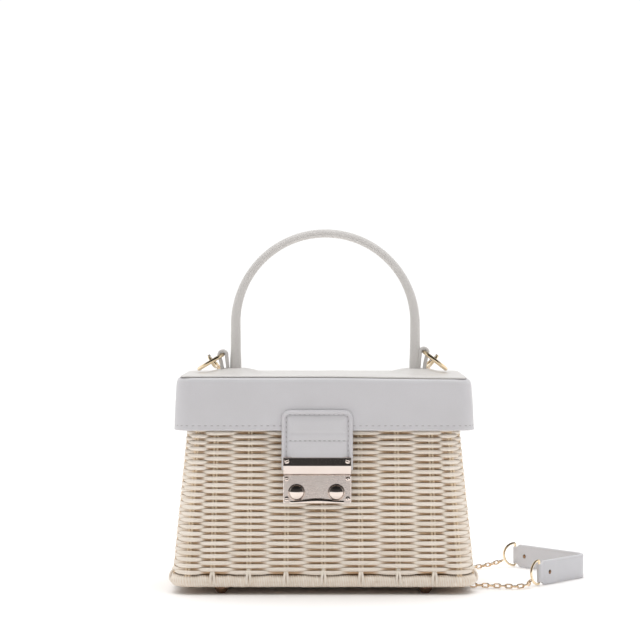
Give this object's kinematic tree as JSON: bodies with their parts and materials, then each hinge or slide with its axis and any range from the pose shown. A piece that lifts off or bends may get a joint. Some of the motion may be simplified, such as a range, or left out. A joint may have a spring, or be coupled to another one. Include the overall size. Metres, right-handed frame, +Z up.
{
  "type": "handbag",
  "caption": "Small woven-reed box handbag with a hinged leather lid, rolled top handle, press-lock clasp, snap hooks and a chain shoulder strap lying beside it",
  "frame": {"origin": "on the floor under the middle of the basket, where the bag stands on its studs", "axes": "+Z up, +X to the right of the lock as seen from the front, +Y towards the hinges at the back"},
  "size_m": [0.3107, 0.1739, 0.265],
  "materials": {
    "woven_reed": "natural reed, lightly varnished",
    "reed_hoop": "reed wrapped with thin strands",
    "base_wood": "plain board",
    "lid_card": "plain stiff board",
    "lining_cloth": "plain woven cloth",
    "grey_leather": "smooth, semi-gloss",
    "pale_leather": "smooth, semi-gloss",
    "handle_cord": "twisted cord",
    "gold": "polished",
    "pale_gold": "polished pale gold",
    "dark_bronze": "dark polished bronze",
    "steel": "plain"
  },
  "bodies": {
    "basket": {"wicker_body": "woven_reed", "base_border": "reed_hoop", "rim_hoop": "reed_hoop", "base_board": "base_wood", "lining": "lining_cloth", "strap_band": "pale_leather", "chain_left": "gold", "chain_right": "gold", "strap_ring_left": "gold", "strap_ring_right": "gold", "lock_plate": "pale_gold", "lock_screw_low_left": "pale_gold", "lock_screw_low_right": "pale_gold", "lock_screw_high_left": "pale_gold", "lock_screw_high_right": "pale_gold", "hinge_lower_left": "pale_gold", "hinge_lower_right": "pale_gold", "foot_front_left": "dark_bronze", "foot_front_right": "dark_bronze", "foot_rear_left": "dark_bronze", "foot_rear_right": "dark_bronze", "strap_rivet_left": "dark_bronze", "strap_rivet_right": "dark_bronze", "lock_case": "steel", "lock_back_plate": "steel", "button_spring_left": "steel", "button_spring_right": "steel", "hinge_pin_left": "steel", "hinge_pin_right": "steel"},
    "lid": {"lid_skirt": "grey_leather", "lid_top_board": "lid_card", "lid_top_cover": "grey_leather", "lid_liner": "lining_cloth", "handle_cover": "pale_leather", "handle_core": "handle_cord", "handle_plate_left": "steel", "handle_plate_right": "steel", "ring_loop_left": "pale_leather", "ring_loop_right": "pale_leather", "hinge_upper_left": "pale_gold", "hinge_upper_right": "pale_gold", "clasp_tab_upper": "grey_leather"},
    "clasp_flap": {"clasp_tab_lower": "grey_leather", "clasp_bar": "pale_gold", "clasp_back_plate": "steel", "clasp_screw_left": "pale_gold", "clasp_screw_right": "pale_gold"},
    "button_left": {"button_left": "pale_gold"},
    "ring_left": {"ring_left": "gold"},
    "hook_left": {"hook_left": "gold"},
    "gate_left": {"gate_left": "dark_bronze"},
    "swivel_left": {"hook_eye_left": "gold"},
    "button_right": {"button_right": "pale_gold"},
    "ring_right": {"ring_right": "gold"},
    "hook_right": {"hook_right": "gold"},
    "gate_right": {"gate_right": "dark_bronze"},
    "swivel_right": {"hook_eye_right": "gold"}
  },
  "joints": [
    {"name": "lid_hinge", "type": "hinge", "parent": "basket", "child": "lid", "pos_m": [0, 0.061, 0.1159], "axis": [-1, 0, 0], "range_deg": [0, 105], "deforming": ["chain_left", "chain_right"]},
    {"name": "clasp_flap_hinge", "type": "hinge", "parent": "lid", "child": "clasp_flap", "pos_m": [-0.0045, -0.0634, 0.118], "axis": [-1, 0, 0], "range_deg": [0, 75]},
    {"name": "button_press_left", "type": "slide", "parent": "basket", "child": "button_left", "axis": [0, 1, 0], "range_m": [0, 0.0012], "stiffness_N_per_m": 300, "springref_m": -0.002, "deforming": ["button_spring_left"]},
    {"name": "button_press_right", "type": "slide", "parent": "basket", "child": "button_right", "axis": [0, 1, 0], "range_m": [0, 0.0012], "stiffness_N_per_m": 300, "springref_m": -0.002, "deforming": ["button_spring_right"]},
    {"name": "ring_swing_left", "type": "hinge", "parent": "lid", "child": "ring_left", "pos_m": [-0.0752, 0, 0.17186], "axis": [0, 1, 0], "range_deg": [0, 25]},
    {"name": "hook_lift_left", "type": "hinge", "parent": "ring_left", "child": "hook_left", "pos_m": [-0.08407, 0.01035, 0.16653], "axis": [0.8572, 0, 0.515], "range_deg": [0, 40]},
    {"name": "gate_open_left", "type": "hinge", "parent": "hook_left", "child": "gate_left", "pos_m": [-0.08381, 0.02512, 0.16609], "axis": [0.8572, 0, 0.515], "range_deg": [0, 18], "stiffness_Nm_per_rad": 0.01, "springref_deg": -17.19},
    {"name": "eye_swivel_left", "type": "hinge", "parent": "hook_left", "child": "swivel_left", "pos_m": [-0.08153, 0.03588, 0.1623], "axis": [0.0978, 0.9818, -0.1627], "continuous": true},
    {"name": "ring_swing_right", "type": "hinge", "parent": "lid", "child": "ring_right", "pos_m": [0.0752, 0, 0.17394], "axis": [0, -1, 0], "range_deg": [0, 25]},
    {"name": "hook_lift_right", "type": "hinge", "parent": "ring_right", "child": "hook_right", "pos_m": [0.08336, 0.01035, 0.16757], "axis": [0.788, 0, -0.6157], "range_deg": [0, 40]},
    {"name": "gate_open_right", "type": "hinge", "parent": "hook_right", "child": "gate_right", "pos_m": [0.08241, 0.02505, 0.16636], "axis": [0.788, 0, -0.6157], "range_deg": [0, 18], "stiffness_Nm_per_rad": 0.01, "springref_deg": -17.19},
    {"name": "eye_swivel_right", "type": "hinge", "parent": "hook_right", "child": "swivel_right", "pos_m": [0.07924, 0.03547, 0.1623], "axis": [-0.1584, 0.9663, -0.2028], "continuous": true}
  ]
}
